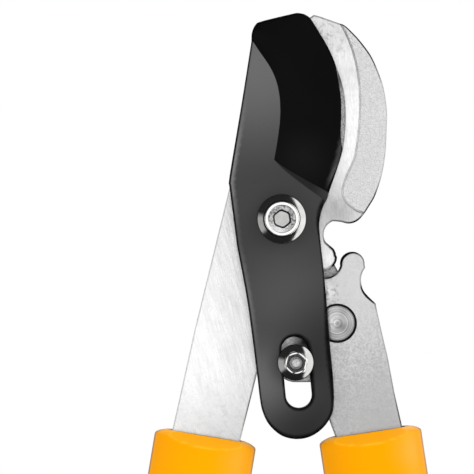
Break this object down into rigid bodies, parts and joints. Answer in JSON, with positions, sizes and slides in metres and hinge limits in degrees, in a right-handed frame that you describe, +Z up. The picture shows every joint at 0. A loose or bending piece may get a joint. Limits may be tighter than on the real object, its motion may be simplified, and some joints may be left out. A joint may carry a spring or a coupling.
{
  "type": "geared lopper",
  "caption": "Long-handled bypass lopper with a hooked counter-blade, a slotted coated blade, a toothed gear arm and yellow collars on oval tube handles with soft grips.",
  "frame": {"origin": "middle of the left grip, on the left handle's centre line, where a hand holds the tool", "axes": "+Z up along the tool, from the grips to the blades; -Y is the front, the side of the coated blade; +X towards the gear arm"},
  "size_m": [0.2042, 0.0367, 0.732],
  "materials": {
    "black_coating": "satin black coating, ground face darker",
    "ground_steel": "blasted and ground steel",
    "brushed_steel": "bright, brushed across",
    "bright_zinc": "bright zinc",
    "plain_steel": "plain machined steel",
    "yellow_plastic": "smooth moulded, satin",
    "dark_plastic": "moulded",
    "dark_lacquer": "black lacquered steel tube",
    "soft_rubber": "soft matt rubber"
  },
  "bodies": {
    "hook_arm": {"hook_blade": "ground_steel", "left_arm_bar": "brushed_steel", "tang_rivet_upper": "plain_steel", "tang_rivet_lower": "plain_steel", "main_pivot_bolt": "bright_zinc", "main_pivot_washer": "bright_zinc", "main_pivot_bushing": "plain_steel", "main_pivot_back_washer": "bright_zinc", "main_pivot_nut": "bright_zinc", "left_collar": "yellow_plastic", "left_handle_core": "dark_plastic", "left_handle_tube": "dark_lacquer", "left_collar_rivet_upper": "bright_zinc", "left_collar_rivet_lower": "bright_zinc", "left_grip": "soft_rubber", "left_end_cap": "yellow_plastic"},
    "link": {"link_plate": "plain_steel", "gear_pivot_pin": "ground_steel", "gear_pivot_spacer": "plain_steel", "gear_pivot_ring": "bright_zinc"},
    "right_arm": {"gear_arm": "ground_steel", "slide_bolt": "bright_zinc", "slide_roller": "plain_steel", "slide_washer": "bright_zinc", "slide_nut": "bright_zinc", "right_collar": "yellow_plastic", "right_handle_core": "dark_plastic", "right_handle_tube": "dark_lacquer", "right_collar_rivet_upper": "bright_zinc", "right_collar_rivet_lower": "bright_zinc", "right_grip": "soft_rubber", "right_end_cap": "yellow_plastic"},
    "blade": {"cutting_blade": "black_coating"}
  },
  "joints": [
    {"name": "link_swing", "type": "hinge", "parent": "hook_arm", "child": "link", "pos_m": [0.0739, 0, 0.55612], "axis": [0, -1, 0], "range_deg": [0, 40]},
    {"name": "right_arm_swing", "type": "hinge", "parent": "link", "child": "right_arm", "pos_m": [0.09455, 0, 0.51749], "axis": [0, -1, 0], "range_deg": [0, 36.6]},
    {"name": "blade_swing", "type": "hinge", "parent": "hook_arm", "child": "blade", "pos_m": [0.0739, 0, 0.55612], "axis": [0, -1, 0], "range_deg": [0, 50]}
  ],
  "couplings": [
    {"joint": "right_arm_swing", "follows": "link_swing", "ratio": 0.914},
    {"joint": "blade_swing", "follows": "link_swing", "ratio": 1.2495}
  ]
}
